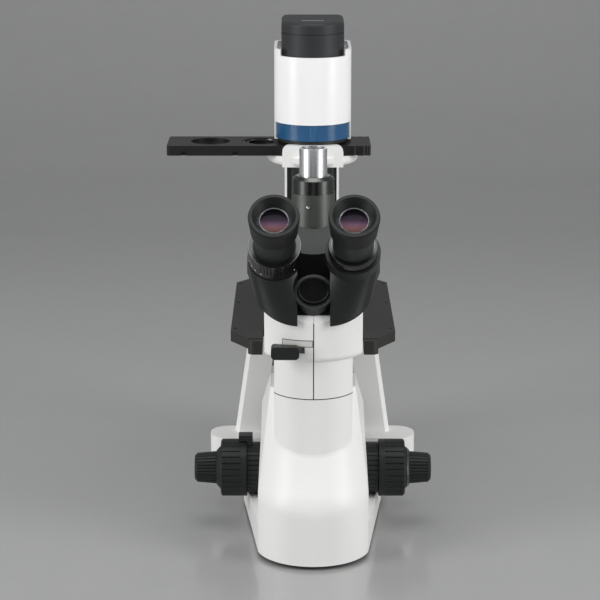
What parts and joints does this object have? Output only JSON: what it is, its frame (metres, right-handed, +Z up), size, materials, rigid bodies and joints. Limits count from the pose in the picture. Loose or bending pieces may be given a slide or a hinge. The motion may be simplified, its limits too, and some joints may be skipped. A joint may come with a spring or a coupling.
{
  "type": "inverted microscope",
  "caption": "Bench inverted microscope with objectives under a fork stage, lamp and condenser on a rear pillar above, phase slider and a trinocular head with swinging eyepieces.",
  "frame": {"origin": "on the bench, straight below the objective in use, at the centre rubber foot", "axes": "+X to the user's right, +Y away from the user, +Z up"},
  "size_m": [0.2607, 0.4229, 0.49],
  "materials": {
    "white_enamel": "satin white enamel",
    "charcoal_enamel": "satin charcoal enamel",
    "black_anodised": "matt black anodised",
    "black_plastic": "fine matt",
    "grey_plastic": "satin",
    "blue_plastic": "gloss",
    "rubber": "matt",
    "chrome": "polished",
    "steel": "turned",
    "brass": "machined",
    "aluminium": "machined",
    "glass": "coated",
    "mirror": "front surface",
    "ceramic": "ceramic"
  },
  "bodies": {
    "stand": {"base_casting": "white_enamel", "base_plate": "black_plastic", "rubber_feet": "rubber", "right_stage_leg": "white_enamel", "left_stage_leg": "white_enamel", "stage_plate": "black_anodised", "stage_insert": "black_anodised", "stage_front_rails": "black_anodised", "left_tower_cover": "white_enamel", "right_tower_cover": "white_enamel", "light_tube": "aluminium", "tube_lens": "glass", "fold_mirrors": "mirror", "right_focus_collar": "black_plastic", "focus_guide": "steel", "pillar": "white_enamel", "pillar_front_panel": "black_plastic", "lamp_housing": "white_enamel", "lamp_cap": "grey_plastic", "blue_band": "blue_plastic", "collector_cell": "black_anodised", "collector_lens": "glass", "lamp_socket": "ceramic", "lamp_bulb": "glass", "slider_carrier": "white_enamel", "condenser_barrel": "charcoal_enamel", "condenser_lens": "glass", "head_body": "charcoal_enamel", "photo_tube": "charcoal_enamel", "photo_ring": "charcoal_enamel", "photo_sleeve": "chrome", "power_supply": "steel", "power_inlet": "black_plastic"},
    "coarse": {"coarse_shaft": "steel", "coarse_knobs": "black_plastic", "focus_pinion": "brass"},
    "fine": {"fine_shaft": "steel", "fine_knobs": "black_plastic"},
    "tension": {"tension_ring": "black_plastic"},
    "carriage": {"focus_carriage": "aluminium", "nosepiece_base": "aluminium"},
    "turret": {"nosepiece_turret": "black_anodised", "objective_10x": "chrome", "objective_4x": "chrome", "objective_25x": "chrome", "objective_40x": "chrome"},
    "left_wing": {"left_wing": "charcoal_enamel", "left_eyepiece": "charcoal_enamel", "left_eyecup": "rubber", "left_eye_lens": "glass"},
    "diopter": {"diopter_ring": "black_anodised"},
    "right_wing": {"right_wing": "charcoal_enamel", "right_eyepiece": "charcoal_enamel", "right_eyecup": "rubber", "right_eye_lens": "glass"},
    "light_path": {"light_path_lever": "black_plastic", "prism_block": "glass"},
    "slider": {"phase_slider": "black_anodised"},
    "rocker": {"power_rocker": "black_plastic"},
    "dial": {"brightness_dial": "black_plastic"}
  },
  "joints": [
    {"name": "focus_slide", "type": "slide", "parent": "stand", "child": "carriage", "axis": [0, 0, 1], "range_m": [-0.003, 0.007]},
    {"name": "coarse_turn", "type": "hinge", "parent": "stand", "child": "coarse", "pos_m": [0, -0.095, 0.0587], "axis": [1, 0, 0], "range_deg": [-28.65, 66.85]},
    {"name": "fine_turn", "type": "hinge", "parent": "stand", "child": "fine", "pos_m": [0, -0.095, 0.0587], "axis": [1, 0, 0], "continuous": true},
    {"name": "tension_turn", "type": "hinge", "parent": "stand", "child": "tension", "pos_m": [0, -0.095, 0.0587], "axis": [1, 0, 0], "range_deg": [-20, 20]},
    {"name": "turret_turn", "type": "hinge", "parent": "carriage", "child": "turret", "pos_m": [0, 0, 0.055], "axis": [0, 0.2756, 0.9613], "continuous": true},
    {"name": "left_swing", "type": "hinge", "parent": "stand", "child": "left_wing", "pos_m": [0, -0.169, 0.2385], "axis": [0, -0.7071, 0.7071], "range_deg": [-14.7, 3.5]},
    {"name": "right_swing", "type": "hinge", "parent": "stand", "child": "right_wing", "pos_m": [0, -0.169, 0.2385], "axis": [0, -0.7071, 0.7071], "range_deg": [-3.5, 14.7]},
    {"name": "diopter_turn", "type": "hinge", "parent": "left_wing", "child": "diopter", "pos_m": [-0.036, -0.14899, 0.25851], "axis": [0, -0.7071, 0.7071], "range_deg": [-150, 150]},
    {"name": "light_path_slide", "type": "slide", "parent": "stand", "child": "light_path", "axis": [1, 0, 0], "range_m": [0, 0.015]},
    {"name": "slider_slide", "type": "slide", "parent": "stand", "child": "slider", "axis": [1, 0, 0], "range_m": [0, 0.102]},
    {"name": "rocker_tip", "type": "hinge", "parent": "stand", "child": "rocker", "pos_m": [0.04, 0.171, 0.032], "axis": [1, 0, 0], "range_deg": [-6, 6]},
    {"name": "dial_turn", "type": "hinge", "parent": "stand", "child": "dial", "pos_m": [0.07, 0.06, 0.036], "axis": [1, 0, 0], "range_deg": [-135, 135]}
  ],
  "couplings": [
    {"joint": "coarse_turn", "follows": "focus_slide", "rad_per_m": 166.67},
    {"joint": "right_swing", "follows": "left_swing", "ratio": -1}
  ]
}
